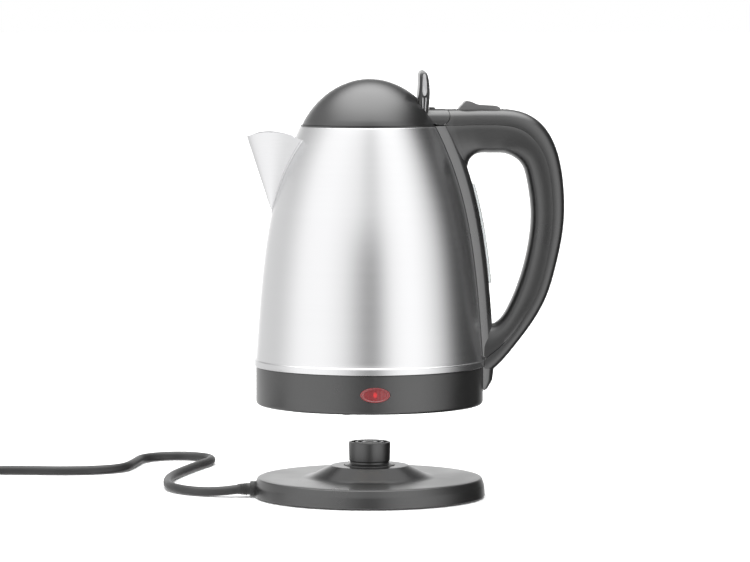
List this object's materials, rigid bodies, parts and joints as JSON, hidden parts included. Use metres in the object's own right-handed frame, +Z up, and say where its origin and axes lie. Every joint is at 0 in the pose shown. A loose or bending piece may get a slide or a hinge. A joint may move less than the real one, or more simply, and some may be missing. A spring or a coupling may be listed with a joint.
{
  "type": "electric kettle",
  "caption": "Cordless electric kettle: steel jug with domed hinged lid, V spout, loop handle with rocker switch, lifted off its round power base with mains lead.",
  "frame": {"origin": "on the table, under the centre of the power base", "axes": "+Z up, the handle points to +X, the spout to -X and the pilot lamp to -Y"},
  "size_m": [0.4808, 0.2934, 0.2824],
  "materials": {
    "brushed_steel": "circumferentially brushed satin",
    "bright_steel": "bright polished",
    "inner_steel": "plain rolled",
    "charcoal_plastic": "satin, fine moulded grain",
    "black_plastic": "matt, fine moulded grain",
    "grey_plastic": "satin",
    "ivory_plastic": "matt heat-resistant moulding",
    "clear_window": "clear polycarbonate",
    "red_lens": "translucent gloss",
    "neon_lamp": "gloss",
    "silicone": "matt silicone",
    "black_rubber": "matt",
    "brass": "bright",
    "aluminium": "cast",
    "zinc_screws": "zinc plated",
    "wire_sleeve": "silicone glass sleeve",
    "lead_pvc": "smooth PVC"
  },
  "bodies": {
    "jug": {"vessel_shell": "brushed_steel", "vessel_floor": "inner_steel", "heat_diffuser": "aluminium", "heater_element": "inner_steel", "spout": "bright_steel", "spout_filter": "grey_plastic", "filter_mesh": "inner_steel", "neck_collar": "black_plastic", "hinge_pin": "zinc_screws", "handle_outer": "charcoal_plastic", "handle_inner": "charcoal_plastic", "back_housing": "charcoal_plastic", "gauge_window": "clear_window", "gauge_seals": "black_rubber", "steam_duct": "silicone", "steam_switch": "ivory_plastic", "bimetal_disc": "brass", "rocker_pin": "zinc_screws", "trip_pin": "zinc_screws", "wire_loom": "wire_sleeve", "base_skirt": "charcoal_plastic", "underside_cover": "black_plastic", "kettle_feet": "black_rubber", "body_screws": "zinc_screws", "indicator_lens": "red_lens", "indicator_lamp": "neon_lamp", "control_block": "ivory_plastic", "ring_contacts": "brass", "socket_pin": "brass", "thermal_discs": "brass", "handle_screws": "zinc_screws"},
    "lid": {"lid_dome": "charcoal_plastic", "lid_plate": "inner_steel", "lid_gasket": "silicone", "lid_screws": "zinc_screws", "lid_arm": "charcoal_plastic", "lid_tab": "charcoal_plastic"},
    "rocker": {"switch_rocker": "charcoal_plastic"},
    "trip": {"trip_lever": "ivory_plastic"},
    "connector": {"post_body": "black_plastic", "post_contacts": "brass"},
    "power_base": {"base_cover": "charcoal_plastic", "base_plate": "black_plastic", "rubber_feet": "black_rubber", "base_screws": "zinc_screws", "terminal_block": "ivory_plastic", "base_wires": "wire_sleeve", "cord_clamp": "ivory_plastic", "strain_relief": "lead_pvc", "cord_run": "lead_pvc", "cord_coil": "lead_pvc", "cord_tail": "lead_pvc", "plug_body": "lead_pvc", "plug_pins": "bright_steel", "plug_earth_clips": "brass"}
  },
  "joints": [
    {"name": "lid_hinge", "type": "hinge", "parent": "jug", "child": "lid", "pos_m": [0.046, 0, 0.2523], "axis": [0, 1, 0], "range_deg": [0, 75]},
    {"name": "rocker_tilt", "type": "hinge", "parent": "jug", "child": "rocker", "pos_m": [0.072, 0, 0.251], "axis": [0, 1, 0], "range_deg": [-12, 0]},
    {"name": "trip_swing", "type": "hinge", "parent": "jug", "child": "trip", "pos_m": [0.072, 0, 0.2415], "axis": [0, 1, 0], "range_deg": [0, 10]},
    {"name": "dock_slide", "type": "slide", "parent": "jug", "child": "connector", "axis": [0, 0, 1], "range_m": [0, 0.0475]},
    {"name": "base_swivel", "type": "hinge", "parent": "connector", "child": "power_base", "pos_m": [0, 0, 0], "axis": [0, 0, 1], "continuous": true}
  ],
  "couplings": [
    {"joint": "trip_swing", "follows": "rocker_tilt", "ratio": -0.8333}
  ]
}
